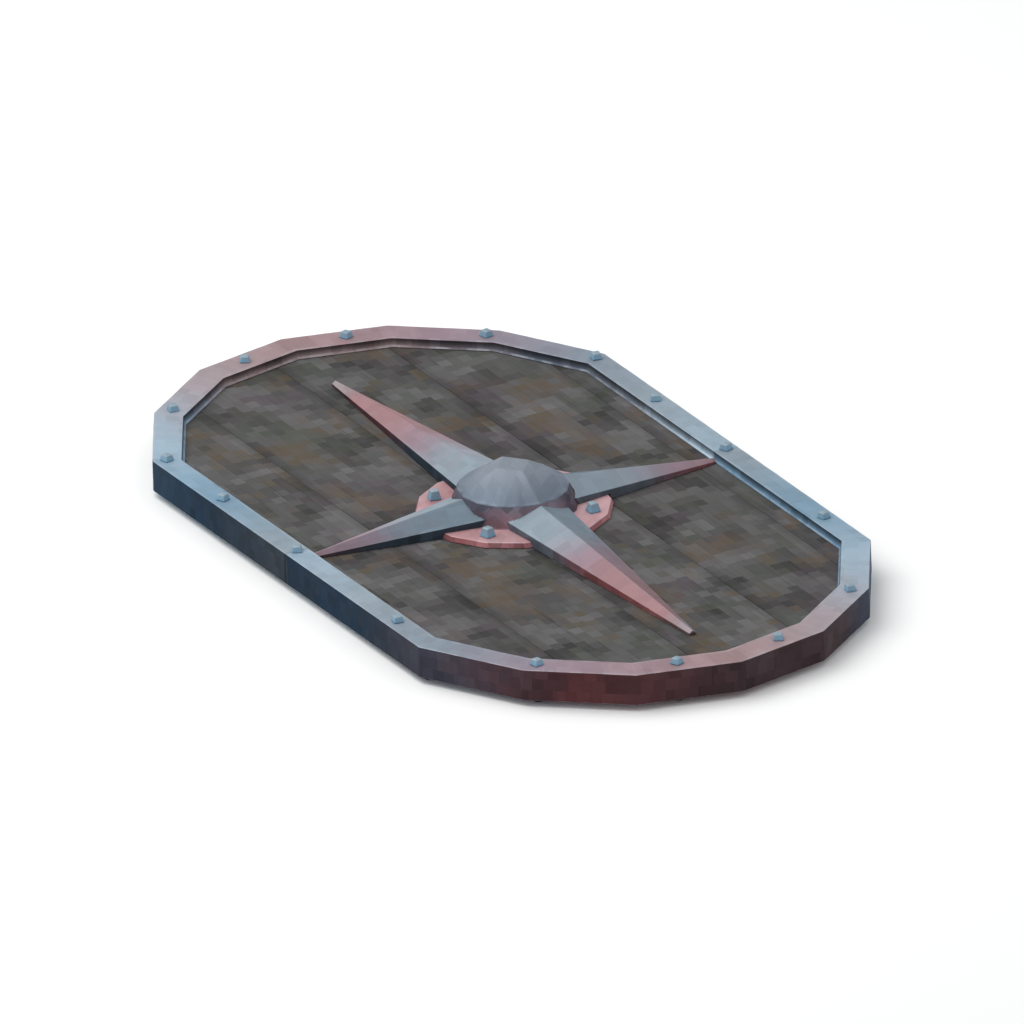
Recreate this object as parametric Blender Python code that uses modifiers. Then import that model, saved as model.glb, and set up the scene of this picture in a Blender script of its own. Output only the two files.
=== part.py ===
"""Tower shield: a plank board in an iron rim, with a four-rayed boss on its face and a grip behind it.

Metres, +Z up.  The shield lies on its back with its face up: +Y points to its head end, +X to its
right side, and z = 0 is the level of the flat tops of the back rivets that it rests on.
"""
import math

import bmesh
import bpy
from mathutils import Matrix, Vector

GAP = 0.0003                 # clearance between pieces that touch

# Outline: straight sides joined by two ends, each end a polygon of equal angular steps
HALF_WIDTH = 0.300
SIDE_HALF = 0.178            # half the length of a straight side
END_RISE = 0.387             # from the end of a straight side to the tip
CORNER_STEP = math.radians(22.5)
CORNERS = 3                  # corners on either side of the tip
LAST_CORNER = CORNERS * CORNER_STEP

# Rim: a band in two halves that meet at the middle of each long side
SIDE_BAND = 0.0308           # width of the band along the sides
END_BAND = 0.0398            # width of the band at the tips
RIM_HEIGHT = 0.0383
FOOT_BAND = 1.09             # the inner wall leans in to this band fraction at the board
GROOVE_BAND = 0.62           # the groove that holds the board reaches back to here
EDGE_BAND = 0.05             # softened edges, across the band
EDGE_DROP = 0.0014           # and down the walls

# Board
BOARD_THICKNESS = 0.0166
BOARD_BAND = 0.66
PLANK_WIDTH = 0.138
FIRST_SEAM = -0.170          # the seams stand a plank's width apart, from this one on
PLANK_CHAMFER = 0.0012
CHAMFER_ANGLE = math.radians(80)    # sharper edges than this are chamfered
HAND_HOLE_RADIUS = 0.062

# Boss: a hollow bowl with a broad flange, in sixteen facets
BOSS_CENTRE_Y = -0.0050
BOSS_FACETS = 16
FLANGE_RADIUS = 0.1174
FLANGE_TOP_RADIUS = 0.1147
FLANGE_THICKNESS = 0.0064
FLANGE_EDGE = 0.0010
SKIRT_RADIUS = 0.0768        # where the bowl rises from the flange
DOME_RADIUS = 0.0660
DOME_BASE = 0.0316           # heights above the board
DOME_CROWN = (0.0220, 0.0260)    # a flat diamond: half its breadth and half its length
DOME_TOP = 0.0585
DOME_FLIGHTS = (0.0, 0.55, 1.0)  # shares of the way from the crown down to the round lip
DOME_SWELL = 0.0012          # how far the flanks stand out between the two
BOWL_WALL = 0.0032

# Rays: ridged bars that taper from the boss to small square tips
RAY_ROOT_DISTANCE = 0.060    # from the boss's axis to the place where the root sizes hold
RAY_ROOT = (0.0405, 0.0154, 0.0300)    # half width, wall height, ridge height
RAY_TIP = (0.0045, 0.0026, 0.0058)
LONG_RAY = 0.4380            # from the boss's axis to the tip
SHORT_RAY = 0.2655
RAY_START = 0.045            # inside the boss, where the bars are cut off by its bowl

# Rivets: forged square heads on square shanks, each turned its own way
RIM_HEAD = (0.0131, 0.0111, 0.0076)    # base, top, height
FLANGE_HEAD = (0.0149, 0.0110, 0.0113)
GRIP_HEAD = (0.0126, 0.0108, 0.0050)
HEAD_SOFTENING = 0.0016
SHANK = 0.0050
RIM_SHANK_LENGTH = 0.0140
BOARD_SHANK_LENGTH = 0.0180
HOLE_END = 0.0010            # a hole is this much deeper than its shank
RIM_RIVET_BAND = 0.50
TIP_RIVET_STEPS = 0.57       # rivets at an end, in corner steps from the tip
SHOULDER_RIVET_STEPS = 1.90
RIGHT_RIVET_Y = (0.1725, 0.0, -0.2395)    # set by eye, so the two sides differ a little
LEFT_RIVET_Y = (0.1810, 0.0, -0.2460)
HEAD_TURNS = (-28.0, 24.0, 12.0, -8.5)    # degrees, repeated round the rim
FLANGE_RIVET_X = 0.0698      # from the boss's axis
FLANGE_RIVET_Y = 0.0656
FLANGE_TURNS = (20.0, 0.0, 13.0, -14.0)

# Grip: a bar across the back of the hand hole
GRIP_HALF_LENGTH = 0.108
GRIP_SHOULDER = 0.049        # the thick middle begins to taper here
GRIP_NECK = 0.070            # and has tapered to its flat ends here
GRIP_HALF_WIDTH = 0.0155
GRIP_END_HALF_WIDTH = 0.0125
GRIP_THICKNESS = 0.0150
GRIP_END_THICKNESS = 0.0080
GRIP_FLAT = 0.62             # share of its width that is flat below
GRIP_CHEEK = 0.55            # share of its thickness where the rounding starts
GRIP_RIVET_X = 0.090
GRIP_RIVET_TURN = math.radians(12)

# Levels
BACK_LEVEL = RIM_HEAD[2] + GAP                 # back of the rim
FACE_LEVEL = BACK_LEVEL + RIM_HEIGHT           # face of the rim
MIDDLE_LEVEL = (BACK_LEVEL + FACE_LEVEL) / 2
BOARD_FACE = MIDDLE_LEVEL + BOARD_THICKNESS / 2
BOARD_BACK = MIDDLE_LEVEL - BOARD_THICKNESS / 2
BOSS_LEVEL = BOARD_FACE + GAP
GRIP_LEVEL = BOARD_BACK - GAP


# ---- scene, collections, materials

def clear_scene():
    for thing in list(bpy.data.objects):
        bpy.data.objects.remove(thing, do_unlink=True)


def new_collection(name):
    collection = bpy.data.collections.new(name)
    bpy.context.scene.collection.children.link(collection)
    return collection


def material(name, colour, roughness, metallic):
    finish = bpy.data.materials.new(name)
    finish.use_nodes = True
    shader = finish.node_tree.nodes["Principled BSDF"]
    shader.inputs["Base Color"].default_value = (*colour, 1.0)
    shader.inputs["Roughness"].default_value = roughness
    shader.inputs["Metallic"].default_value = metallic
    finish.diffuse_color = (*colour, 1.0)
    return finish


# ---- tools

def new_part(name, mesh, finish, collection):
    part = bpy.data.objects.new(name, mesh)
    collection.objects.link(part)
    if finish is not None and not mesh.materials:
        mesh.materials.append(finish)
    return part


def as_cutter(cutter):
    cutter.hide_render = True
    cutter.display_type = "WIRE"
    return cutter


def mesh_from(name, shape):
    bmesh.ops.recalc_face_normals(shape, faces=shape.faces)
    mesh = bpy.data.meshes.new(name)
    shape.to_mesh(mesh)
    shape.free()
    return mesh


def loft_mesh(name, sections):
    """A closed body through sections with equally many points, capped at both ends."""
    shape = bmesh.new()
    rings = [[shape.verts.new(point) for point in section] for section in sections]
    for ring, following in zip(rings, rings[1:]):
        for k in range(len(ring)):
            after = (k + 1) % len(ring)
            shape.faces.new((ring[k], ring[after], following[after], following[k]))
    shape.faces.new(rings[0])
    shape.faces.new(rings[-1])
    return mesh_from(name, shape)


def turned_part(name, profile, finish, collection):
    """A profile of (radius, height) points, closed on the axis, turned in facets by a Screw modifier."""
    shape = bmesh.new()
    corners = [shape.verts.new((radius, 0.0, height)) for radius, height in profile]
    for corner, following in zip(corners, corners[1:]):
        shape.edges.new((corner, following))
    mesh = bpy.data.meshes.new(name)
    shape.to_mesh(mesh)
    shape.free()
    part = new_part(name, mesh, finish, collection)
    turn = part.modifiers.new("turn", "SCREW")
    turn.steps = turn.render_steps = BOSS_FACETS
    turn.use_merge_vertices = True
    turn.merge_threshold = 0.00005
    turn.use_smooth_shade = False
    return part


def cut(part, cutter):
    boolean = part.modifiers.new("cut", "BOOLEAN")
    boolean.operation = "DIFFERENCE"
    boolean.object = cutter


# ---- outline of the shield

def outline_corner(band, angle):
    """A corner of one end: band 0 is the outer edge, band 1 the inner edge of the rim's face."""
    half_width = HALF_WIDTH - band * SIDE_BAND
    end_rise = END_RISE - band * END_BAND
    x = half_width * math.sin(angle) / math.sin(LAST_CORNER)
    return Vector((x, SIDE_HALF + end_rise * math.cos(angle), 0.0))


def end_angles():
    return [k * CORNER_STEP for k in range(CORNERS, -CORNERS - 1, -1)]


def point_along_end(band, steps):
    """A place on the right of the head end, a number of corner steps from its tip."""
    whole = min(int(steps), CORNERS - 1)
    start = outline_corner(band, whole * CORNER_STEP)
    finish = outline_corner(band, (whole + 1) * CORNER_STEP)
    return start.lerp(finish, steps - whole)


# ---- pieces

def rim_section():
    """The rim's cross-section as (band, height) points, from the outer edge of its face inwards."""
    face_side = [
        (0.0, FACE_LEVEL - EDGE_DROP),
        (EDGE_BAND, FACE_LEVEL),
        (1.0 - EDGE_BAND, FACE_LEVEL),
        (1.0, FACE_LEVEL - EDGE_DROP),
        (FOOT_BAND, BOARD_FACE + GAP),
        (GROOVE_BAND, BOARD_FACE + GAP),
    ]
    back_side = [(band, 2 * MIDDLE_LEVEL - height) for band, height in reversed(face_side)]
    return face_side + back_side


def rim_half(name, half_turn, finish, parts):
    section = rim_section()

    def butt_end(side):
        return [Vector((side * (HALF_WIDTH - band * SIDE_BAND), GAP / 2, height)) for band, height in section]

    stations = [butt_end(1)]
    for angle in end_angles():
        stations.append([outline_corner(band, angle) + Vector((0, 0, height)) for band, height in section])
    stations.append(butt_end(-1))
    rim = new_part(name, loft_mesh(name, stations), finish, parts)
    rim.rotation_euler.z = half_turn
    return rim


def board_outline():
    head = [outline_corner(BOARD_BAND, angle) for angle in end_angles()]
    return head + [Vector((-corner.x, -corner.y, 0.0)) for corner in head]


def planks(finish, parts, hand_hole):
    edge = max(corner.x for corner in board_outline())
    seams = [FIRST_SEAM]
    while seams[-1] + PLANK_WIDTH < edge:
        seams.append(seams[-1] + PLANK_WIDTH)
    edges = [-edge] + seams + [edge]
    boards = []
    for number, (left, right) in enumerate(zip(edges, edges[1:]), start=1):
        shape = bmesh.new()
        board = shape.faces.new([shape.verts.new((x, y, BOARD_BACK)) for x, y, _ in board_outline()])
        raised = bmesh.ops.extrude_face_region(shape, geom=[board])["geom"]
        corners = [item for item in raised if isinstance(item, bmesh.types.BMVert)]
        bmesh.ops.translate(shape, verts=corners, vec=(0, 0, BOARD_THICKNESS))
        for x, outward in ((left + GAP / 2, -1), (right - GAP / 2, 1)):
            if abs(x) > edge - GAP:
                continue
            everything = shape.verts[:] + shape.edges[:] + shape.faces[:]
            sawn = bmesh.ops.bisect_plane(
                shape, geom=everything, plane_co=(x, 0, 0), plane_no=(outward, 0, 0), clear_outer=True
            )["geom_cut"]
            rim_edges = [item for item in sawn if isinstance(item, bmesh.types.BMEdge)]
            bmesh.ops.holes_fill(shape, edges=rim_edges, sides=0)
        name = f"plank_{number}"
        plank = new_part(name, mesh_from(name, shape), finish, parts)
        chamfer = plank.modifiers.new("chamfer", "BEVEL")
        chamfer.width = PLANK_CHAMFER
        chamfer.segments = 1
        chamfer.limit_method = "ANGLE"
        chamfer.angle_limit = CHAMFER_ANGLE
        if left < HAND_HOLE_RADIUS and right > -HAND_HOLE_RADIUS:
            cut(plank, hand_hole)
        boards.append(plank)
    return boards


def around_boss(radius_at, height):
    """A ring of points about the boss's axis, at the radius that a function gives for each angle."""
    angles = [k * 2 * math.pi / BOSS_FACETS for k in range(BOSS_FACETS)]
    return [Vector((radius_at(a) * math.cos(a), radius_at(a) * math.sin(a), height)) for a in angles]


def dome_ring(share, wall=0.0):
    """A ring of the dome: share 0 is its diamond crown and 1 its round lip."""
    across, along = DOME_CROWN

    def radius_at(angle):
        crown = 1 / (abs(math.cos(angle)) / across + abs(math.sin(angle)) / along)
        return crown + (DOME_RADIUS - crown) * share - wall / 2

    height = DOME_TOP + (DOME_BASE - DOME_TOP) * share + DOME_SWELL * 4 * share * (1 - share)
    return around_boss(radius_at, height - wall)


def boss(finish, parts):
    """A hollow bowl from its dome down to the flange, and back up inside."""
    outside = [dome_ring(share) for share in DOME_FLIGHTS]
    for radius, height in (
        (SKIRT_RADIUS, FLANGE_THICKNESS),
        (FLANGE_TOP_RADIUS - FLANGE_EDGE, FLANGE_THICKNESS),
        (FLANGE_TOP_RADIUS, FLANGE_THICKNESS - FLANGE_EDGE),
        (FLANGE_RADIUS, 0.0),
        (SKIRT_RADIUS - BOWL_WALL, 0.0),
        (DOME_RADIUS - BOWL_WALL, DOME_BASE - BOWL_WALL / 2),
    ):
        outside.append(around_boss(lambda angle, radius=radius: radius, height))
    inside = [dome_ring(share, BOWL_WALL) for share in reversed(DOME_FLIGHTS[:-1])]
    bowl = new_part("boss", loft_mesh("boss", outside + inside), finish, parts)
    bowl.modifiers.new("facets", "TRIANGULATE")
    bowl.location = (0.0, BOSS_CENTRE_Y, BOSS_LEVEL)
    return bowl


def boss_room(cutters):
    """The boss's outer form with clearance, filled in, which shapes the roots of the rays."""
    profile = [
        (0.0, DOME_TOP + DOME_BASE),
        (DOME_RADIUS + GAP, DOME_TOP + DOME_BASE),
        (DOME_RADIUS + GAP, DOME_BASE),
        (SKIRT_RADIUS + GAP, FLANGE_THICKNESS + GAP),
        (FLANGE_RADIUS + GAP, FLANGE_THICKNESS + GAP),
        (FLANGE_RADIUS + GAP, -FLANGE_THICKNESS),
        (0.0, -FLANGE_THICKNESS),
    ]
    room = as_cutter(turned_part("boss_room", profile, None, cutters))
    room.location = (0.0, BOSS_CENTRE_Y, BOSS_LEVEL)
    return room


def ray_section(distance, length):
    """A ridged section across a ray that points along +Y, at a distance from the boss's axis."""
    share = (distance - RAY_ROOT_DISTANCE) / (length - RAY_ROOT_DISTANCE)
    half_width, wall, ridge = (root + (tip - root) * share for root, tip in zip(RAY_ROOT, RAY_TIP))
    return [
        Vector((-half_width, distance, 0.0)),
        Vector((half_width, distance, 0.0)),
        Vector((half_width, distance, wall)),
        Vector((0.0, distance, ridge)),
        Vector((-half_width, distance, wall)),
    ]


def ray(name, length, turn, room, finish, parts):
    """A ray that reaches a length from the boss's axis, turned about it."""
    sections = [ray_section(distance, length) for distance in (RAY_START, length)]
    bar = new_part(name, loft_mesh(name, sections), finish, parts)
    bar.location = (0.0, BOSS_CENTRE_Y, BOARD_FACE + GAP)
    bar.rotation_euler.z = turn
    cut(bar, room)
    return bar


def rivet_mesh(name, head, shank_length):
    """A square head that narrows upwards to a softened top, with a square shank below z = 0."""
    base, top, height = head
    shape = bmesh.new()
    standing = Matrix.Translation((0, 0, height / 2)) @ Matrix.Rotation(math.radians(45), 4, "Z")
    bmesh.ops.create_cone(
        shape, cap_ends=True, segments=4, depth=height, matrix=standing,
        radius1=base / math.sqrt(2), radius2=top / math.sqrt(2),
    )
    shape.faces.ensure_lookup_table()
    underside = min(shape.faces, key=lambda face: face.calc_center_median().z)
    bmesh.ops.inset_individual(shape, faces=[underside], thickness=(base - SHANK) / 2, use_even_offset=True)
    point = bmesh.ops.extrude_face_region(shape, geom=[underside])["geom"]
    corners = [item for item in point if isinstance(item, bmesh.types.BMVert)]
    bmesh.ops.translate(shape, verts=corners, vec=(0, 0, -shank_length))
    if underside.is_valid:
        bmesh.ops.delete(shape, geom=[underside], context="FACES_ONLY")
    upper_edges = [edge for edge in shape.edges if max(corner.co.z for corner in edge.verts) > height / 2]
    bmesh.ops.bevel(
        shape, geom=upper_edges, offset=HEAD_SOFTENING, segments=2, profile=0.5,
        affect="EDGES", clamp_overlap=True,
    )
    return mesh_from(name, shape)


def rivet(name, mesh, place, turn, upwards, finish, parts):
    stud = new_part(name, mesh, finish, parts)
    stud.location = place
    stud.rotation_euler = (0.0 if upwards else math.pi, 0.0, turn)
    return stud


def rivet_hole(name, place, turn, depth, upwards, cutters):
    shape = bmesh.new()
    side = SHANK + 2 * GAP
    bmesh.ops.create_cube(shape, size=1.0, matrix=Matrix.Diagonal((side, side, 2 * depth, 1.0)))
    hole = as_cutter(new_part(name, mesh_from(name, shape), None, cutters))
    hole.location = place
    hole.rotation_euler = (0.0 if upwards else math.pi, 0.0, turn)
    return hole


def rim_rivet_places():
    """Places on the middle of the band round the rim, clockwise from the right of the tip."""
    half_width = HALF_WIDTH - RIM_RIVET_BAND * SIDE_BAND
    tip = point_along_end(RIM_RIVET_BAND, TIP_RIVET_STEPS)
    shoulder = point_along_end(RIM_RIVET_BAND, SHOULDER_RIVET_STEPS)
    last = outline_corner(RIM_RIVET_BAND, LAST_CORNER)

    def one_side(side_ys):
        places = [tip.xy, shoulder.xy, last.xy]
        places += [Vector((half_width, y)) for y in side_ys]
        return places + [Vector((shoulder.x, -shoulder.y)), Vector((tip.x, -tip.y))]

    left = [Vector((-place.x, place.y)) for place in reversed(one_side(LEFT_RIVET_Y))]
    return one_side(RIGHT_RIVET_Y) + left


def rim_rivets(rims, finish, parts, cutters):
    mesh = rivet_mesh("rim_rivet", RIM_HEAD, RIM_SHANK_LENGTH)
    for face in ("face", "back"):
        upwards = face == "face"
        level = FACE_LEVEL + GAP if upwards else BACK_LEVEL - GAP
        for number, place in enumerate(rim_rivet_places(), start=1):
            turn = math.radians(HEAD_TURNS[number % len(HEAD_TURNS)])
            y = place.y if upwards else -place.y
            spot = Vector((place.x, y, level))
            rivet(f"{face}_rivet_{number:02d}", mesh, spot, turn, upwards, finish, parts)
            depth = RIM_SHANK_LENGTH + HOLE_END
            hole = rivet_hole(f"{face}_rivet_hole_{number:02d}", spot, turn, depth, upwards, cutters)
            for rim in rims:
                ahead = y if rim.name.endswith("head") else -y
                if ahead > -SHANK:
                    cut(rim, hole)


def flange_rivets(bowl, boards, finish, parts, cutters):
    mesh = rivet_mesh("flange_rivet", FLANGE_HEAD, BOARD_SHANK_LENGTH)
    corners = ((1, 1), (1, -1), (-1, -1), (-1, 1))
    for number, ((side, end), degrees) in enumerate(zip(corners, FLANGE_TURNS), start=1):
        turn = math.radians(degrees)
        level = BOSS_LEVEL + FLANGE_THICKNESS + GAP
        spot = Vector((side * FLANGE_RIVET_X, BOSS_CENTRE_Y + end * FLANGE_RIVET_Y, level))
        rivet(f"boss_rivet_{number}", mesh, spot, turn, True, finish, parts)
        depth = BOARD_SHANK_LENGTH + HOLE_END
        hole = rivet_hole(f"boss_rivet_hole_{number}", spot, turn, depth, True, cutters)
        cut(bowl, hole)
        for board in boards:
            cut(board, hole)


def grip(finish, parts):
    """A bar with a thick rounded middle and flat ends, hung below the board's back."""
    def section(x, half_width, thickness):
        flat = half_width * GRIP_FLAT
        cheek = thickness * GRIP_CHEEK
        return [
            Vector((x, -half_width, 0.0)),
            Vector((x, half_width, 0.0)),
            Vector((x, half_width, -cheek)),
            Vector((x, flat, -thickness)),
            Vector((x, -flat, -thickness)),
            Vector((x, -half_width, -cheek)),
        ]

    ends = (GRIP_END_HALF_WIDTH, GRIP_END_THICKNESS)
    middle = (GRIP_HALF_WIDTH, GRIP_THICKNESS)
    right = [(GRIP_SHOULDER, middle), (GRIP_NECK, ends), (GRIP_HALF_LENGTH, ends)]
    stations = [(-x, sizes) for x, sizes in reversed(right)] + right
    bar = new_part("grip", loft_mesh("grip", [section(x, *sizes) for x, sizes in stations]), finish, parts)
    bar.location = (0.0, BOSS_CENTRE_Y, GRIP_LEVEL)
    return bar


def grip_rivets(bar, boards, finish, parts, cutters):
    mesh = rivet_mesh("grip_rivet", GRIP_HEAD, BOARD_SHANK_LENGTH)
    for side, name in ((1, "right"), (-1, "left")):
        spot = Vector((side * GRIP_RIVET_X, BOSS_CENTRE_Y, GRIP_LEVEL - GRIP_END_THICKNESS - GAP))
        turn = side * GRIP_RIVET_TURN
        rivet(f"grip_rivet_{name}", mesh, spot, turn, False, finish, parts)
        depth = BOARD_SHANK_LENGTH + HOLE_END
        hole = rivet_hole(f"grip_rivet_hole_{name}", spot, turn, depth, False, cutters)
        cut(bar, hole)
        for board in boards:
            cut(board, hole)


def hand_hole_cutter(cutters):
    shape = bmesh.new()
    bmesh.ops.create_cone(
        shape, cap_ends=True, segments=BOSS_FACETS, radius1=HAND_HOLE_RADIUS, radius2=HAND_HOLE_RADIUS,
        depth=BOARD_THICKNESS * 2,
    )
    hole = as_cutter(new_part("hand_hole", mesh_from("hand_hole", shape), None, cutters))
    hole.location = (0.0, BOSS_CENTRE_Y, MIDDLE_LEVEL)
    return hole


def main():
    clear_scene()
    parts = new_collection("tower_shield")
    cutters = new_collection("cutters")
    rim_iron = material("rim_iron", (0.36, 0.43, 0.50), 0.55, 0.4)
    boss_iron = material("boss_iron", (0.33, 0.38, 0.44), 0.5, 0.4)
    ray_iron = material("ray_iron", (0.42, 0.38, 0.42), 0.55, 0.4)
    rivet_iron = material("rivet_iron", (0.25, 0.38, 0.48), 0.45, 0.5)
    plank_wood = material("plank_wood", (0.11, 0.10, 0.09), 0.85, 0.0)
    grip_wood = material("grip_wood", (0.16, 0.11, 0.07), 0.8, 0.0)

    rims = [
        rim_half("rim_head", 0.0, rim_iron, parts),
        rim_half("rim_foot", math.pi, rim_iron, parts),
    ]
    hand_hole = hand_hole_cutter(cutters)
    boards = planks(plank_wood, parts, hand_hole)
    bowl = boss(boss_iron, parts)
    room = boss_room(cutters)
    ray("ray_head", LONG_RAY, 0.0, room, ray_iron, parts)
    ray("ray_foot", LONG_RAY, math.pi, room, ray_iron, parts)
    ray("ray_right", SHORT_RAY, -math.pi / 2, room, ray_iron, parts)
    ray("ray_left", SHORT_RAY, math.pi / 2, room, ray_iron, parts)
    bar = grip(grip_wood, parts)
    rim_rivets(rims, rivet_iron, parts, cutters)
    flange_rivets(bowl, boards, rivet_iron, parts, cutters)
    grip_rivets(bar, boards, rivet_iron, parts, cutters)


main()
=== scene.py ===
"""Looks of the tower shield: forged iron over dark hewn planks, laid face up on a pale floor.

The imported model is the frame.  Each piece is built again here at the place and size of its solid,
with softened arrises, hammer and adze marks and grain.  Metres, +Z up, +Y to the head end.
"""

import math

import bmesh
import bpy
import numpy as np
from mathutils import Matrix, Vector


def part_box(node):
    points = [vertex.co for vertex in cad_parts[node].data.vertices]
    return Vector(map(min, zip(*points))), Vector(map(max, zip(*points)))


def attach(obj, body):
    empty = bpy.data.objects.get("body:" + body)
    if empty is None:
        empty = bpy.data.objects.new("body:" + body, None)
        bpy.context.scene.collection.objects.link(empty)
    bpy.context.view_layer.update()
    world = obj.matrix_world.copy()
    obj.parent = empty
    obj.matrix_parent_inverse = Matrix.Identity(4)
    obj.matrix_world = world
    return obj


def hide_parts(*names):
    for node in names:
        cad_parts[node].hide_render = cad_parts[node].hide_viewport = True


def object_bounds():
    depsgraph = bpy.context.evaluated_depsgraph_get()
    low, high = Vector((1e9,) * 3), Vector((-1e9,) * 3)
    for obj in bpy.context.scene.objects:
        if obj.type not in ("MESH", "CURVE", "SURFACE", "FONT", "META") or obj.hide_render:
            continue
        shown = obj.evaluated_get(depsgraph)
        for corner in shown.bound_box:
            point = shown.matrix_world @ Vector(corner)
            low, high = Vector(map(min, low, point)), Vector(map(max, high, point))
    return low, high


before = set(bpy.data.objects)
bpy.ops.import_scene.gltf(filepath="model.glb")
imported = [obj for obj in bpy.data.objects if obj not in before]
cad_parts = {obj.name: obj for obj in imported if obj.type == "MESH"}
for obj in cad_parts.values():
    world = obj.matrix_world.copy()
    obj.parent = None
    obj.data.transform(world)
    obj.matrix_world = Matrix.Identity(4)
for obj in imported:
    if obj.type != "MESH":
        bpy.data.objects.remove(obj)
CAD_LOW, CAD_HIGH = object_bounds()
MM = 0.001

# ---- dimensions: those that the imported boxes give, and the forms between them

RIM_LOW, RIM_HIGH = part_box("rim_head")
PLANK_LOW, PLANK_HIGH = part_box("plank_3")
BOSS_LOW, BOSS_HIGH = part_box("boss")
GRIP_LOW, GRIP_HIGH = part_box("grip")
BACK_LEVEL, FACE_LEVEL = RIM_LOW.z, RIM_HIGH.z
BOARD_BACK, BOARD_FACE = PLANK_LOW.z, PLANK_HIGH.z
GAP = BOSS_LOW.z - BOARD_FACE
BOSS_CENTRE = Vector(((BOSS_LOW.x + BOSS_HIGH.x) / 2, (BOSS_LOW.y + BOSS_HIGH.y) / 2, BOSS_LOW.z))
FLANGE_RADIUS = (BOSS_HIGH.x - BOSS_LOW.x) / 2

HALF_WIDTH = CAD_HIGH.x
SIDE_HALF = 0.178                    # half the length of a straight side
END_RISE = CAD_HIGH.y - SIDE_HALF
CORNER_STEP = math.radians(22.5)
CORNERS = 3                          # corners on either side of the tip
LAST_CORNER = CORNERS * CORNER_STEP
RIM_HALF_LENGTH = 1.446              # once round a half, from butt to butt
SIDE_BAND = 0.0308                   # the rim's width along the sides
END_BAND = 0.0398                    # and at the tips
FOOT_BAND = 1.09                     # the inner wall's foot, in band widths
GROOVE_BAND = 0.62                   # the bottom of the groove that holds the board
BOARD_BAND = 0.66                    # the board's edge, inside the groove

FACETS = 16
FLANGE_TOP_RADIUS = FLANGE_RADIUS - 2.7 * MM
FLANGE_THICKNESS = 6.4 * MM
SKIRT_RADIUS = 0.0768
DOME_RADIUS = 0.0660
DOME_BASE = 0.0316
DOME_TOP = BOSS_HIGH.z - BOSS_LOW.z
CROWN_ACROSS, CROWN_ALONG = 0.0222, 0.0262    # the dome's flat crown is a diamond
FLANK_SWELL = 1.2 * MM
BOWL_WALL = 3.2 * MM
# Painted shade round the boss's skirt
SKIRT_LIT_ANGLE = 259              # degrees: the skirt has no painted shade towards here
SKIRT_LIT_REACH = 20               # this far to either side
SKIRT_SHADE_FADE = 30                      # and its painted shade deepens over this much more
SKIRT_PAINTED_SHADE = 0.46

RAY_ROOT_DISTANCE = 0.060            # from the boss's axis, where the root sizes hold
RAY_ROOT = (0.0405, 0.0154, 0.0300)  # half width, wall height, ridge height
RAY_TIP = (0.0045, 0.0026, 0.0058)
RAY_START = 0.045
LONGEST_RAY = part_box("ray_head")[1].y - BOSS_CENTRE.y
RAY_PAINTED_SHADE = {                         # painted shade on its left facet, right facet and walls; below 0 it is painted light
    "head": (0.0, -0.1, 0.6),
    "foot": (0.3, 0.0, 0.0),
    "right": (0.4, 0.15, 0.1),
    "left": (0.35, -0.1, 0.55),
}
HAND_HOLE_RADIUS = 0.062

# ---- repeatable chance

CHANCE = np.random.default_rng(11)
LATTICE = 64
LATTICE_VALUES = CHANCE.random((LATTICE, LATTICE, LATTICE)).astype(np.float32)


def chance_at(*cells):
    """A repeatable random number from 0 to 1 for each whole-numbered cell."""
    wrapped = [np.asarray(cell).astype(int) % LATTICE for cell in cells]
    return LATTICE_VALUES[tuple(np.broadcast_arrays(*wrapped))]


def smooth_noise(places, size):
    """Soft noise from 0 to 1 over points (n, 3); size is the spacing of its swells along each axis."""
    scaled = np.asarray(places) / np.asarray(size)
    base = np.floor(scaled).astype(int)
    share = scaled - base
    share = share * share * (3 - 2 * share)
    total = 0.0
    for corner in np.ndindex(2, 2, 2):
        weight = np.prod(np.where(corner, share, 1 - share), axis=1)
        total = total + weight * chance_at(*(base + corner).T)
    return total


def rough_noise(places, size, layers=3):
    """Noise from 0 to 1 with finer and fainter layers on top of the first."""
    total, strength, sum_of_strengths = 0.0, 1.0, 0.0
    for layer in range(layers):
        shifted = np.asarray(places) + layer * 0.37
        total = total + strength * smooth_noise(shifted, np.asarray(size) / 2 ** layer)
        sum_of_strengths += strength
        strength *= 0.5
    return total / sum_of_strengths


# ---- meshes

def softened(corners, step):
    """A closed outline from (across, height, softening) corners, as evenly stepped points with
    rounded corners, and each point's wear: 1 on a softened corner, fading over the flats."""
    corners = [(Vector(corner[:2]), corner[2]) for corner in corners]
    points, soft_places = [], []
    for k, (corner, softening) in enumerate(corners):
        before, after = corners[k - 1][0], corners[(k + 1) % len(corners)][0]
        start = corner + (before - corner).normalized() * softening
        finish = corner + (after - corner).normalized() * softening
        if softening:
            soft_places.append(corner)
            for share in np.linspace(0, 1, 5):
                points.append(start.lerp(corner, share).lerp(corner.lerp(finish, share), share))
        else:
            points.append(corner.copy())
        following, next_softening = corners[(k + 1) % len(corners)]
        arrival = following + (corner - following).normalized() * next_softening
        length = (arrival - finish).length
        pieces = max(1, round(length / step))
        shares = list(np.linspace(0, 1, pieces + 1)[1:-1])
        support = 0.5 * MM / length
        if support < 0.3:
            shares = sorted(shares + [support, 1 - support])
        points += [finish.lerp(arrival, share) for share in shares]
    flat = np.array([tuple(point) for point in points])
    distance = np.min([np.linalg.norm(flat - np.array(place), axis=1) for place in soft_places], axis=0)
    return flat, np.exp(-np.maximum(distance - 0.6 * MM, 0) / (1.5 * MM))


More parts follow.
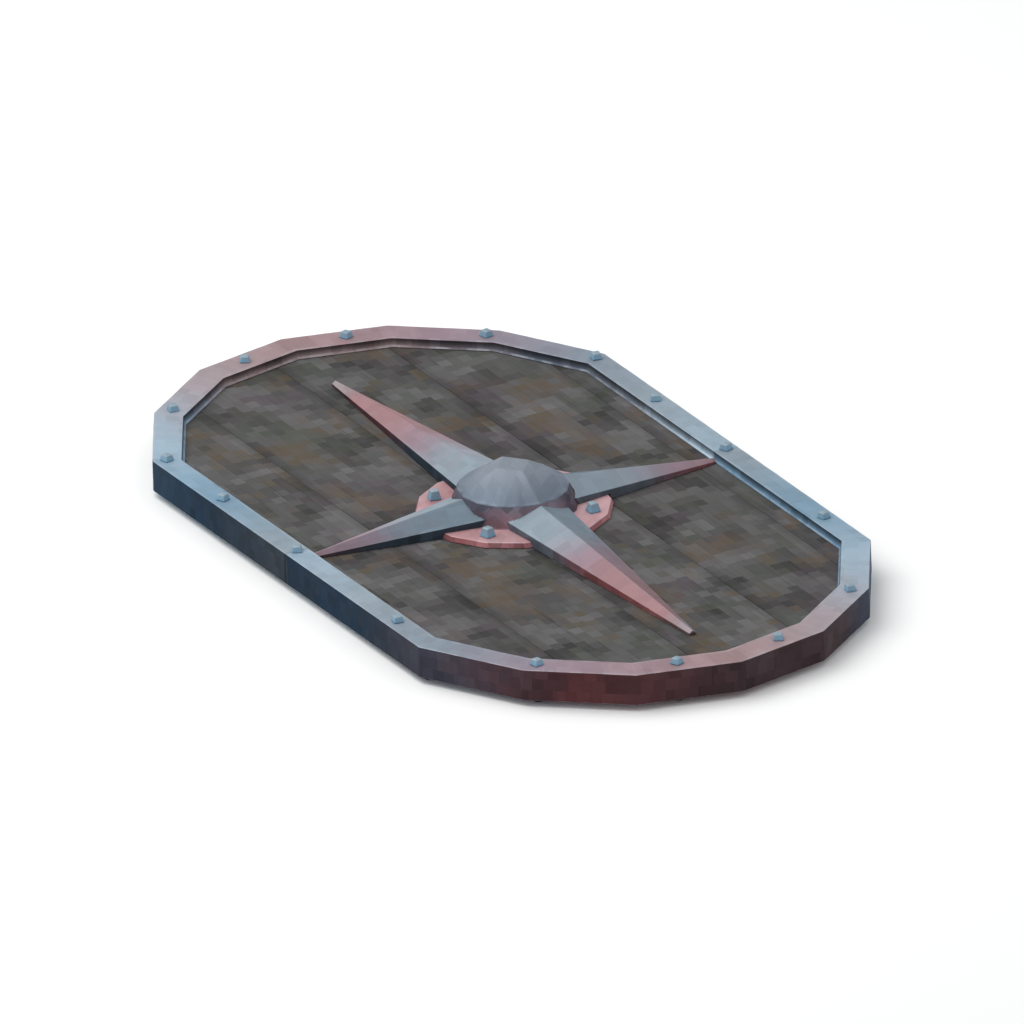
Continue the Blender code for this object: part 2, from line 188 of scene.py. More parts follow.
def loft(name, rings, wear, course):
    """A closed body through rings of points (ring, point, 3), capped at both ends, with what the
    finishes read: wear (ring, point) and course, each point's place along and across the work."""
    count, size = rings.shape[:2]
    index = np.arange(count * size).reshape(count, size)
    here, after = index[:-1], index[1:]
    quads = np.stack([here, np.roll(here, -1, 1), np.roll(after, -1, 1), after], axis=-1).reshape(-1, 4)
    faces = quads.tolist() + [index[0].tolist(), index[-1].tolist()]
    mesh = bpy.data.meshes.new(name)
    mesh.from_pydata(rings.reshape(-1, 3).tolist(), [], faces)
    mark(mesh, "wear", wear.reshape(-1))
    mark(mesh, "course", course.reshape(-1, 3))
    return outward(mesh)


def mark(mesh, name, values):
    """Writes a number or a vector for every point of a mesh, for its finish to read."""
    is_number = values.ndim == 1
    attribute = mesh.attributes.new(name, "FLOAT" if is_number else "FLOAT_VECTOR", "POINT")
    attribute.data.foreach_set("value" if is_number else "vector", values.astype(np.float32).ravel())


def outward(mesh):
    shape = bmesh.new()
    shape.from_mesh(mesh)
    bmesh.ops.recalc_face_normals(shape, faces=shape.faces)
    shape.to_mesh(mesh)
    shape.free()
    return mesh


def places_of(mesh):
    places = np.empty(len(mesh.vertices) * 3, np.float32)
    mesh.vertices.foreach_get("co", places)
    return places.reshape(-1, 3).astype(float)


def relieve(mesh, amount):
    """Moves the points of a mesh along their normals by what amount(places, normals) gives."""
    places = places_of(mesh)
    normals = np.empty(len(mesh.vertices) * 3, np.float32)
    mesh.vertices.foreach_get("normal", normals)
    normals = normals.reshape(-1, 3)
    moved = places + normals * amount(places, normals)[:, None]
    mesh.vertices.foreach_set("co", moved.astype(np.float32).ravel())
    mesh.update()
    return mesh


def piece(name, mesh, finish, slot, *nodes):
    """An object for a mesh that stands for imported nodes, smooth shaded, on the shield's one body."""
    mesh.shade_smooth()
    mesh.materials.clear()
    mesh.materials.append(finish)
    thing = bpy.data.objects.new(name, mesh)
    bpy.context.scene.collection.objects.link(thing)
    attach(thing, "root")
    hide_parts(*nodes)
    return thing


def cut_mesh(mesh, cutter_mesh):
    """A mesh less a cutter, with its marks kept."""
    body = bpy.data.objects.new("body", mesh)
    cutter = bpy.data.objects.new("cutter", cutter_mesh)
    for thing in (body, cutter):
        bpy.context.scene.collection.objects.link(thing)
    boolean = body.modifiers.new("cut", "BOOLEAN")
    boolean.operation = "DIFFERENCE"
    boolean.object = cutter
    bpy.context.view_layer.update()
    evaluated = body.evaluated_get(bpy.context.evaluated_depsgraph_get())
    result = bpy.data.meshes.new_from_object(evaluated)
    for thing in (body, cutter):
        bpy.data.objects.remove(thing)
    return split_wide_faces(result)


def split_wide_faces(mesh):
    """A cut mesh with its many-cornered faces split into triangles."""
    shape = bmesh.new()
    shape.from_mesh(mesh)
    wide = [face for face in shape.faces if len(face.verts) > 4]
    bmesh.ops.triangulate(shape, faces=wide, ngon_method="BEAUTY")
    shape.to_mesh(mesh)
    shape.free()
    return mesh


# ---- finishes

# Heat colours of the iron as the eye sees them in this light, from 0 to 255; the SHADED_ ones and the dark
# ones for walls carry painted shade too, and the near black paints the shade on the back rivets
PALE_BLUE = (155, 175, 190)
GREY_BLUE = (142, 155, 165)
STEEL_BLUE = (120, 148, 168)
SLATE = (132, 142, 155)
PLUM = (150, 130, 140)
ROSE = (158, 124, 127)
DUSTY_ROSE = (158, 132, 134)
ASH = (160, 150, 155)
SHADED_BLUE = (90, 115, 135)
SHADED_SLATE = (68, 74, 85)
SHADED_GREY = (92, 98, 108)
SHADED_ROSE = (110, 95, 96)
RUST = (135, 82, 84)
OXBLOOD = (82, 46, 48)
UMBER = (60, 46, 50)
DEEP_BLUE = (30, 58, 80)
NIGHT_BLUE = (10, 36, 56)
INK = (40, 50, 60)
SMOKE = (60, 58, 68)
SHADOW_BLACK = (30, 33, 38)

# Each runs in even steps along its piece
RIM_FACE = (PALE_BLUE, GREY_BLUE, SLATE, PLUM, DUSTY_ROSE, ASH, PALE_BLUE, STEEL_BLUE, GREY_BLUE)
# The walls' colours, of rim and rays, and those of the rim's inside are darker than the faces': heat colour
# with painted shade
RIM_WALL = (NIGHT_BLUE, NIGHT_BLUE, SMOKE, OXBLOOD, UMBER, UMBER, DEEP_BLUE, NIGHT_BLUE, INK)
RIM_INSIDE = (
    PALE_BLUE, SHADED_GREY, SHADED_SLATE, SHADED_ROSE, SHADED_ROSE, SHADED_BLUE, SHADED_BLUE, SHADED_BLUE)
RAY_FACE = (GREY_BLUE, GREY_BLUE, PLUM, ROSE, ROSE, ASH)
RAY_WALL = (SHADED_GREY, SHADED_GREY, RUST, RUST, SHADED_ROSE)
DOME_FACE = ((112, 122, 136), (132, 140, 150))
SKIRT_FACE = ((130, 100, 108), (132, 110, 120), (122, 116, 128))
FLANGE_FACE = ((182, 135, 138), (190, 158, 162))
# The flange's edge is darker than its face: heat colour, partly painted shade
FLANGE_EDGE = ((142, 82, 86), (174, 126, 130))
# From the foot of a rivet head to its top: deeper blue below with painted shade, paler on top with painted
# light
RIVET_RISE = ((124, 166, 192), (136, 168, 188), (140, 157, 168))
# Painted shade for the back rivets' heads
BACK_RIVET_SHADE = (SHADOW_BLACK, SHADED_SLATE)


def tint(red, green, blue):
    """A colour as the eye sees it, in the even light values that a shader takes."""
    def even(share):
        return share / 12.92 if share <= 0.04045 else ((share + 0.055) / 1.055) ** 2.4

    return tuple(even(value / 255) for value in (red, green, blue))


class Value:
    """A socket of a finish, with the operators that add its Math nodes."""

    def __init__(self, finish, socket):
        self.finish = finish
        self.socket = socket

    def math(self, operation, *operands):
        return self.finish.node("ShaderNodeMath", 0, {"operation": operation}, dict(enumerate(operands)))

    def __add__(self, other):
        return self.math("ADD", self, other)

    __radd__ = __add__

    def __sub__(self, other):
        return self.math("SUBTRACT", self, other)

    def __rsub__(self, other):
        return self.math("SUBTRACT", other, self)

    def __mul__(self, other):
        return self.math("MULTIPLY", self, other)

    __rmul__ = __mul__

    def __truediv__(self, other):
        return self.math("DIVIDE", self, other)

    def floor(self):
        return self.math("FLOOR", self)

    def size(self):
        return self.math("ABSOLUTE", self)

    def between(self, low, high, low_result=0.0, high_result=1.0):
        """Runs smoothly from one result to the other as the value goes from low to high."""
        inputs = {"Value": self, 1: low, 2: high, 3: low_result, 4: high_result}
        return self.finish.node("ShaderNodeMapRange", 0, {"interpolation_type": "SMOOTHSTEP"}, inputs)


class Finish:
    """One material, built node by node."""

    def __init__(self, name, **constants):
        self.material = bpy.data.materials.new(name)
        self.material.use_nodes = True
        self.tree = self.material.node_tree
        self.shader = self.tree.nodes["Principled BSDF"]
        self.set_inputs(self.shader, constants)

    def set_inputs(self, node, inputs):
        for key, value in inputs.items():
            socket = node.inputs[key]
            if isinstance(value, Value):
                self.tree.links.new(value.socket, socket)
            elif isinstance(value, tuple) and socket.type == "RGBA":
                socket.default_value = (*value, 1.0)
            else:
                socket.default_value = value

    def node(self, kind, output, settings=None, inputs=None):
        """Adds any node: its type, the output wanted, its settings, and its sockets' values or links."""
        node = self.tree.nodes.new(kind)
        for name, setting in (settings or {}).items():
            if name == "stops":
                for _ in range(len(setting) - len(node.color_ramp.elements)):
                    node.color_ramp.elements.new(1.0)
                for element, (position, colour) in zip(node.color_ramp.elements, setting):
                    element.position = position
                    element.color = (*colour, 1.0)
            else:
                setattr(node, name, setting)
        self.set_inputs(node, inputs or {})
        return Value(self, node.outputs[output])

    def surface(self, **inputs):
        self.set_inputs(self.shader, {name.replace("_", " "): value for name, value in inputs.items()})
        return self.material

    def place(self):
        return self.node("ShaderNodeTexCoord", "Object")

    def mark(self, name, output="Fac"):
        return self.node("ShaderNodeAttribute", output, {"attribute_name": name})

    def parts(self, vector):
        split = self.node("ShaderNodeSeparateXYZ", "X", None, {0: vector}).socket.node
        return [Value(self, split.outputs[axis]) for axis in "XYZ"]

    def vector(self, x, y, z):
        return self.node("ShaderNodeCombineXYZ", 0, None, {"X": x, "Y": y, "Z": z})

    def stretched(self, vector, scale):
        return self.node("ShaderNodeVectorMath", 0, {"operation": "MULTIPLY"}, {0: vector, 1: scale})

    def shifted(self, vector, other):
        return self.node("ShaderNodeVectorMath", 0, {"operation": "ADD"}, {0: vector, 1: other})

    def noise(self, vector, scale, detail=3.0, roughness=0.55, distortion=0.0, output="Fac"):
        inputs = {"Vector": vector, "Scale": scale, "Detail": detail, "Roughness": roughness,
                  "Distortion": distortion}
        return self.node("ShaderNodeTexNoise", output, None, inputs)

    def mix(self, share, first, second, blend="MIX"):
        settings = {"data_type": "RGBA", "blend_type": blend, "clamp_result": False}
        return self.node("ShaderNodeMix", 2, settings, {0: share, 6: first, 7: second})

    def heat(self, share, colours):
        """Heat colours that follow one another, evenly spaced, as a share goes from 0 to 1."""
        stops = [(k / (len(colours) - 1), tint(*colour)) for k, colour in enumerate(colours)]
        return self.node("ShaderNodeValToRGB", "Color", {"stops": stops}, {"Fac": share})

    def shade(self, colour, lightness):
        """A colour made lighter or darker by a factor that varies over the surface."""
        grey = self.vector(lightness, lightness, lightness)
        return self.node("ShaderNodeVectorMath", 0, {"operation": "MULTIPLY"}, {0: colour, 1: grey})

    def in_painted_shade(self, colour, dusk):
        """A colour darkened by painted shade, which takes the reds away first."""
        light = self.vector(1 - dusk * 1.15, 1 - dusk, 1 - dusk * 0.9)
        return self.node("ShaderNodeVectorMath", 0, {"operation": "MULTIPLY"}, {0: colour, 1: light})

    def facing_up(self):
        return self.parts(self.node("ShaderNodeNewGeometry", "Normal"))[2]

    def stroke(self, along, across, length, width, seed):
        """Tool strokes in staggered rows, as a vector that numbers the stroke and its row."""
        row = (across / width).floor()
        settings = {"noise_dimensions": "1D"}
        stagger = self.node("ShaderNodeTexWhiteNoise", "Value", settings, {"W": row + seed})
        return self.vector((along / length + stagger).floor(), row, seed)

    def chance(self, cell):
        """Three random numbers for each cell, as a vector."""
        return self.node("ShaderNodeTexWhiteNoise", "Color", {"noise_dimensions": "3D"}, {"Vector": cell})

    def bump(self, height, strength, distance, normal=None):
        inputs = {"Height": height, "Strength": strength, "Distance": distance}
        if normal is not None:
            inputs["Normal"] = normal
        return self.node("ShaderNodeBump", "Normal", None, inputs)


def forged_iron(name, colours, mottle=0.10, metal=0.28):
    """Blued forged iron.  colours(finish, up, drift) gives its colour: up is 1 on faces and 0 on
    walls, and drift, about -0.5 to 0.5, is how far each patch strays along the heat colours."""
    finish = Finish(name)
    place = finish.place()
    wander = finish.stretched(finish.noise(place, 60.0, output="Color"), (0.003, 0.003, 0.0))
    along, across, _ = finish.parts(finish.shifted(finish.mark("course", "Vector"), wander))
    tone, hue, polish = finish.parts(finish.chance(finish.stroke(along, across, 0.0145, 0.0145, 3.0)))
    broad_tone, broad_hue, _ = finish.parts(finish.chance(finish.stroke(along, across, 0.043, 0.029, 8.0)))
    cloud = finish.noise(place, 14.0, 4.0) - 0.5
    grime = finish.noise(place, 90.0, 5.0, 0.65) - 0.5
    drift = (broad_hue - 0.5) * 0.45 + (hue - 0.5) * 0.25 + cloud * 0.6
    # up sets the faces' lighter colours over the walls' darker ones, which are partly painted shade
    up = (finish.facing_up().size() + (tone - 0.5) * 0.05).between(0.48, 0.72)
    patches = (tone - 0.5) * 1.3 + (broad_tone - 0.5) * 1.2 + cloud * 1.6 + grime * 1.4
    lightness = 1.0 + patches * (mottle * 2.8 - up * mottle * 1.8)
    colour = finish.shade(colours(finish, up, drift), lightness)
    # Pale worn arrises on the faces: wear, partly a painted highlight along the edges
    rubbed_edge_highlight = finish.mark("wear") * finish.noise(place, 55.0, 3.0).between(0.35, 0.65) * up
    colour = finish.mix(rubbed_edge_highlight * 0.25, colour, tint(195, 203, 212))
    pits = finish.noise(place, 420.0, 3.0, 0.6).between(0.30, 0.48)
    roughness = 0.60 + grime * 0.25 + (polish - 0.5) * 0.08 - rubbed_edge_highlight * 0.15
    height = tone * 0.15 + grime * 0.9 + pits * 0.5
    return finish.surface(
        Base_Color=colour, Metallic=up * metal + 0.08, Roughness=roughness, Specular_IOR_Level=0.10,
        Normal=finish.bump(height, 0.30, 0.0006))


def rim_colours(finish, up, drift):
    """Heat colours that run along each half of the rim, darker on the walls, and inside it down to the
    board painted shade that is deepest under the face.
    """
    along = finish.parts(finish.mark("course", "Vector"))[0] / RIM_HALF_LENGTH + drift * 0.045
    inside = finish.mark("inside")
    # Painted shade on the rim's inner wall: darker copies of its colours along the rim, darker still under
    # the face and lighter towards the board
    depth = finish.parts(finish.place())[2].between(BOARD_FACE, FACE_LEVEL, 1.5, 0.35)
    within = finish.shade(finish.heat(along, RIM_INSIDE), depth)
    wall = finish.mix(inside, finish.heat(along, RIM_WALL), within)
    return finish.mix(up * (1 - inside), wall, finish.heat(along, RIM_FACE))


def ray_colours(finish, up, drift):
    """Blue at the root and rosy from half-way, by the distance from the boss's axis."""
    distance = finish.parts(finish.mark("course", "Vector"))[0]
    out = (distance - RAY_START) / (LONGEST_RAY - RAY_START) + drift * 0.16
    # Painted shade per facet and on the walls, below 0 painted light; on the walls it also draws the heat
    # colours back towards the root
    dusk = finish.mark("dusk")
    wall = finish.heat(out - dusk * 0.2, RAY_WALL)
    return finish.in_painted_shade(finish.mix(up, wall, finish.heat(out, RAY_FACE)), dusk)


def boss_colours(finish, up, drift):
    """A grey-blue dome over a red skirt with painted shade round most of it, on a rosy flange."""
    height = finish.parts(finish.place())[2] - BOSS_CENTRE.z
    dome = finish.heat(height.between(DOME_BASE, DOME_TOP) + drift * 0.35, DOME_FACE)
    skirt = finish.heat(height.between(FLANGE_THICKNESS, DOME_BASE) + drift * 0.9, SKIRT_FACE)
    skirt = finish.in_painted_shade(skirt, finish.mark("dusk"))
    flange = finish.mix(up, finish.heat(drift + 0.5, FLANGE_EDGE), finish.heat(drift + 0.5, FLANGE_FACE))
    above_lip = height.between(DOME_BASE - 1.4 * MM, DOME_BASE - 0.6 * MM)
    above_flange = height.between(FLANGE_THICKNESS, FLANGE_THICKNESS + 0.6 * MM)
    outside = finish.mix(above_flange, flange, finish.mix(above_lip, skirt, dome))
    return finish.mix(finish.mark("inside"), outside, tint(70, 74, 82))


def rivet_colours(finish, up, drift):
    """Deep blue at the foot of the head and pale on its top: heat colours with painted shade below and
    painted light on top.
    """
    return finish.heat(finish.mark("rise") + drift * 0.15, RIVET_RISE)


def back_rivet_shade_colours(finish, up, drift):
    """The back rivets' heads behind the shield, in painted shade: near black at the foot, dark slate at the
    top.
    """
    return finish.heat(finish.mark("rise") + drift * 0.3, BACK_RIVET_SHADE)


def hewn_wood(name, dark, light, green, plum, brown, stroke_length, seams):
    """Old weathered boards: adze strokes in rows, stains that run over many strokes, grain, and dirt
    that has gathered at the seams."""
    finish = Finish(name)
    place = finish.place()
    wander = finish.stretched(finish.noise(place, 45.0, output="Color"), (0.003, 0.002, 0.0))
    along, across, _ = finish.parts(finish.shifted(finish.mark("course", "Vector"), wander))
    stroke = finish.stroke(along, across, stroke_length, 0.0138, 2.0)
    tone, hue, kind = finish.parts(finish.chance(stroke))
    spread = finish.stretched(stroke, (0.22, 0.17, 1.0))
    damp, moss, earth = finish.parts(finish.noise(spread, 1.0, 2.0, 0.5, output="Color"))
    streaks = finish.noise(finish.stretched(place, (1.0, 0.035, 1.0)), 210.0, 5.0, 0.6, 0.3)
    fibres = finish.noise(finish.stretched(place, (1.0, 0.02, 1.0)), 900.0, 2.0, 0.5)
    colour = finish.mix(damp.between(0.28, 0.72) * 0.90 + tone * 0.20 + streaks * 0.16 - 0.12, dark, light)
    colour = finish.mix((moss + (hue - 0.5) * 0.2).between(0.52, 0.74, 0.0, 0.65), colour, green)
    colour = finish.mix((1 - moss + (kind - 0.5) * 0.2).between(0.52, 0.74, 0.0, 0.65), colour, plum)
    colour = finish.mix((earth + (hue - 0.5) * 0.15).between(0.50, 0.72, 0.0, 0.7), colour, brown)
    lightness = 0.92 + (fibres - 0.5) * 0.28
    if seams:
        near_seam = finish.mark("seam") + (tone - 0.5) * 0.5
        lightness = lightness * near_seam.between(0.25, 0.95, 1.0, 0.80)
    crack = streaks.between(0.30, 0.38)
    lightness = lightness * (0.78 + crack * 0.22)
    height = streaks * 0.8 + fibres * 0.35 + tone * 0.25
    return finish.surface(
        Base_Color=finish.shade(colour, lightness), Roughness=0.86 - (streaks - 0.5) * 0.2,
        Specular_IOR_Level=0.22, Normal=finish.bump(height, 0.4, 0.0006))


# ---- the rim

def outline_corner(band, angle):
    """A corner of one end: band 0 is the outer edge, band 1 the inner edge of the rim's face."""
    half_width = HALF_WIDTH - band * SIDE_BAND
    end_rise = END_RISE - band * END_BAND
    return np.array([half_width * math.sin(angle) / math.sin(LAST_CORNER),
                     SIDE_HALF + end_rise * math.cos(angle)])


def end_line(band, softening, step):
    """The head end's line at a band, from the middle of the right side round to the left, with
    slightly rounded corners, and each point's wear."""
    corners = [outline_corner(band, k * CORNER_STEP) for k in range(CORNERS, -CORNERS - 1, -1)]
    x_end = corners[0][0]
    stops = [np.array([x_end, GAP / 2])] + corners + [np.array([-x_end, GAP / 2])]
    outer = [outline_corner(0.0, k * CORNER_STEP) for k in range(CORNERS, -CORNERS - 1, -1)]
    outer = [np.array([HALF_WIDTH, GAP / 2])] + outer + [np.array([-HALF_WIDTH, GAP / 2])]
    points, wear = [stops[0]], [0.0]
    for k in range(1, len(stops)):
        pieces = max(2, round(np.linalg.norm(outer[k] - outer[k - 1]) / step))
        start, finish = stops[k - 1], stops[k]
        way = (finish - start) / np.linalg.norm(finish - start)
        first = start + way * (softening if k > 1 else 0)
        last = finish - way * (softening if k < len(stops) - 1 else 0)
        for share in np.linspace(0, 1, pieces + 1)[0 if k > 1 else 1:]:
            points.append(first + (last - first) * share)
            wear.append(0.0)
        if k < len(stops) - 1:
            onward = (stops[k + 1] - finish) / np.linalg.norm(stops[k + 1] - finish)
            for share in (0.25, 0.5, 0.75):
                a = last + (finish - last) * share
                b = finish + onward * softening * share
                points.append(a + (b - a) * share)
                wear.append(1.0)
    return np.array(points), np.array(wear)


def rim_section():
    """The rim's section as (across, height, softening) corners, across in metres at the sides."""
    width = SIDE_BAND
    face = FACE_LEVEL
    lip = BOARD_FACE + GAP
    upper = [
        (0.0, face, 1.3 * MM),
        (width, face, 1.1 * MM),
        (width * 1.004, face - (face - lip) * 0.50, 1.5 * MM),
        (width * 1.028, lip + 2.2 * MM, 1.0 * MM),
        (width * FOOT_BAND, lip + 0.5 * MM, 0.3 * MM),
        (width * FOOT_BAND, lip, 0.0),
        (width * GROOVE_BAND, lip, 0.0),
    ]
    turned_over = FACE_LEVEL + BACK_LEVEL
    lower = [(across, turned_over - height, softening) for across, height, softening in reversed(upper)]
    return upper + lower


def rim_half(name, turn, finish):
    section, section_wear = softened(rim_section(), 3.5 * MM)
    lines = [end_line(across / SIDE_BAND, 1.6 * MM, 5 * MM) for across, _ in section]
    plan = np.stack([line[0] for line in lines], axis=1)
    station_wear = lines[0][1]
    heights = np.broadcast_to(section[:, 1], plan.shape[:2])
    rings = np.concatenate([plan * turn, heights[..., None]], axis=-1)
    exposed = section[:, 0] < SIDE_BAND * (FOOT_BAND - 0.001)
    wear = np.maximum(section_wear[None, :], station_wear[:, None] * 0.25) * exposed[None, :]
    along = np.cumsum(np.r_[0, np.linalg.norm(np.diff(plan[:, 0], axis=0), axis=1)])
    round_the_section = np.cumsum(np.r_[0, np.linalg.norm(np.diff(section, axis=0), axis=1)])
    course = np.zeros(rings.shape)
    course[..., 0] = along[:, None]
    course[..., 1] = round_the_section[None, :]
    mesh = loft(name, rings, wear, course)
    within = (section[:, 0] > SIDE_BAND * 0.999) & (section[:, 1] > BOARD_FACE - 1.0 * MM)
    below_face = np.clip((FACE_LEVEL - section[:, 1]) / (1.2 * MM), 0, 1)
    mark(mesh, "inside", np.broadcast_to(within * below_face, plan.shape[:2]).ravel())

    def hammered(places, normals):
        in_groove = (places[:, 2] > BOARD_BACK - 1.0 * MM) & (places[:, 2] < BOARD_FACE + 1.0 * MM)
        outer_wall = np.abs(normals[:, 2]) < 0.5
        swell = (rough_noise(places, (0.022, 0.022, 0.022)) - 0.62) * 0.55 * MM
        inner = np.hypot(normals[:, 0], normals[:, 1]) > 0.5
        hidden = in_groove & inner & (normals[:, 0] * places[:, 0] + normals[:, 1] * places[:, 1] < 0)
        near_joint = np.abs(places[:, 1]) < 1.0 * MM
        swell[hidden | near_joint] = 0
        return np.where(outer_wall, np.minimum(swell, 0.15 * MM), swell)

    relieve(mesh, hammered)
    return piece(f"{name}_iron", mesh, finish, "rim_iron", name)


# ---- the board

def board_reach(x):
    """How far the board reaches along +Y at a distance from its middle line."""
    corners = [outline_corner(BOARD_BAND, k * CORNER_STEP) for k in range(CORNERS + 1)]
    return np.interp(np.abs(x), [corner[0] for corner in corners], [corner[1] for corner in corners])


def adze_marks(x, y, left):
    """How deep the shallow adze strokes go, in staggered rows along a plank."""
    row = np.floor((x - left) / 0.0138)
    along = y / 0.021 + chance_at(row, row * 3 + 1, row * 0 + 5)
    stroke = np.floor(along)
    depth = chance_at(row, stroke, row * 0 + 9)
    lean = chance_at(row, stroke, row * 0 + 21) - 0.5
    across_share = (x - left) / 0.0138 - row - 0.5
    scoop = 1 - (2 * across_share) ** 2 * 0.5
    return (0.10 + 0.16 * depth * scoop + 0.14 * lean * (along - stroke - 0.5)) * MM


def grain_grooves(x, y, seed):
    places = np.stack([x, y, np.full_like(x, seed * 0.71)], axis=1)
    wave = rough_noise(places, (0.0046, 0.16, 0.01), layers=2)
    return np.maximum(0.42 - wave, 0) * 1.6 * MM


def plank(number, finish):
    node = f"plank_{number}"
    low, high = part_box(node)
    chamfer = 1.2 * MM
    inner = np.arange(low.x + chamfer, high.x - chamfer, 1.25 * MM)
    top_x = np.r_[low.x, low.x + chamfer * 0.3, inner, high.x - chamfer, high.x - chamfer * 0.3, high.x]
    top_drop = np.interp(np.minimum(top_x - low.x, high.x - top_x), [0, chamfer * 0.3, chamfer],
                         [chamfer, chamfer * 0.45, 0.0])
    back_x = np.linspace(high.x, low.x, max(12, round((high.x - low.x) / (3 * MM))))
    section_x = np.r_[top_x, back_x]
    on_top = np.r_[np.ones(len(top_x), bool), np.zeros(len(back_x), bool)]
    back_drop = np.interp(np.minimum(back_x - low.x, high.x - back_x), [0, chamfer], [chamfer, 0])
    drop = np.r_[top_drop, back_drop]
    shares = np.linspace(-1, 1, 190)
    reach = board_reach(section_x)
    x = np.broadcast_to(section_x, (len(shares), len(section_x)))
    y = shares[:, None] * reach[None, :]
    marks = adze_marks(x.ravel(), y.ravel(), low.x) + grain_grooves(x.ravel(), y.ravel(), number)
    marks = marks.reshape(x.shape)
    z_top = BOARD_FACE - np.maximum(drop[None, :], marks)
    z_back = BOARD_BACK + np.maximum(drop[None, :], marks * 0.7)
    z = np.where(on_top[None, :], z_top, z_back)
    rings = np.stack([x, y, z], axis=-1)
    wear = np.broadcast_to(np.exp(-np.minimum(section_x - low.x, high.x - section_x) / (1.5 * MM)), x.shape)
    course = np.stack([y, x - low.x + number * 0.276, z * 0], axis=-1)
    mesh = loft(node, rings, wear, course)
    places = places_of(mesh)
    to_seam = np.full(len(places), 1.0)
    for edge in (low.x, high.x):
        if abs(edge) < board_edge() - 1 * MM:
            to_seam = np.minimum(to_seam, np.abs(places[:, 0] - edge))
    mark(mesh, "seam", np.clip(1.2 - to_seam / 0.014, 0, 1))
    if low.x < HAND_HOLE_RADIUS and high.x > -HAND_HOLE_RADIUS:
        mesh = cut_mesh(mesh, hand_hole())
    return piece(f"{node}_oak", mesh, finish, "plank_wood", node)


def board_edge():
    return HALF_WIDTH - BOARD_BAND * SIDE_BAND


def hand_hole():
    shape = bmesh.new()
    depth = (BOARD_FACE - BOARD_BACK) * 2
    middle = Matrix.Translation((0, BOSS_CENTRE.y, (BOARD_FACE + BOARD_BACK) / 2))
    bmesh.ops.create_cone(shape, cap_ends=True, segments=FACETS * 4, radius1=HAND_HOLE_RADIUS,
                          radius2=HAND_HOLE_RADIUS, depth=depth, matrix=middle)
    mesh = bpy.data.meshes.new("hand_hole")
    shape.to_mesh(mesh)
    shape.free()
    return mesh


# ---- the boss

def facet_share(angle):
    """How far inside its corner circle a sixteen-sided ring lies at an angle."""
    half = math.pi / FACETS
    return math.cos(half) / np.cos(np.mod(angle, 2 * half) - half)


def crown_reach(angles):
    """How far the diamond crown reaches from the axis at each angle, with its corners eased."""
    ease = 0.03
    across, along = np.hypot(np.cos(angles), ease), np.hypot(np.sin(angles), ease)
    return 1 / (across / CROWN_ACROSS + along / CROWN_ALONG)


def dome_lines(angles, step):
    """The dome as rings from crown to lip: radii and heights above the board, (ring, angle)."""
    crown = crown_reach(angles)
    lip = DOME_RADIUS * facet_share(angles)

    def flank(share):
        height = DOME_TOP + (DOME_BASE - DOME_TOP) * share + FLANK_SWELL * 4 * share * (1 - share)
        return np.stack([crown + (lip - crown) * share, np.full_like(crown, height)])

    def flat(share):
        return np.stack([crown * share, np.full_like(crown, DOME_TOP)])

    soft = 1.0 * MM
    inner, outer = flat(1 - soft / CROWN_ACROSS), flank(soft / (DOME_RADIUS - CROWN_ACROSS))
    lines = [flat(share) for share in (0.1, 0.35, 0.6, 0.8)]
    for share in (0.0, 0.25, 0.5, 0.75, 1.0):
        start = inner + (flat(1.0) - inner) * share
        lines.append(start + (flat(1.0) + (outer - flat(1.0)) * share - start) * share)
    lines += [flank(share) for share in np.linspace(0.05, 1.0, round(0.052 / step))]
    radii, heights = np.array(lines).transpose(1, 0, 2)
    return radii, heights


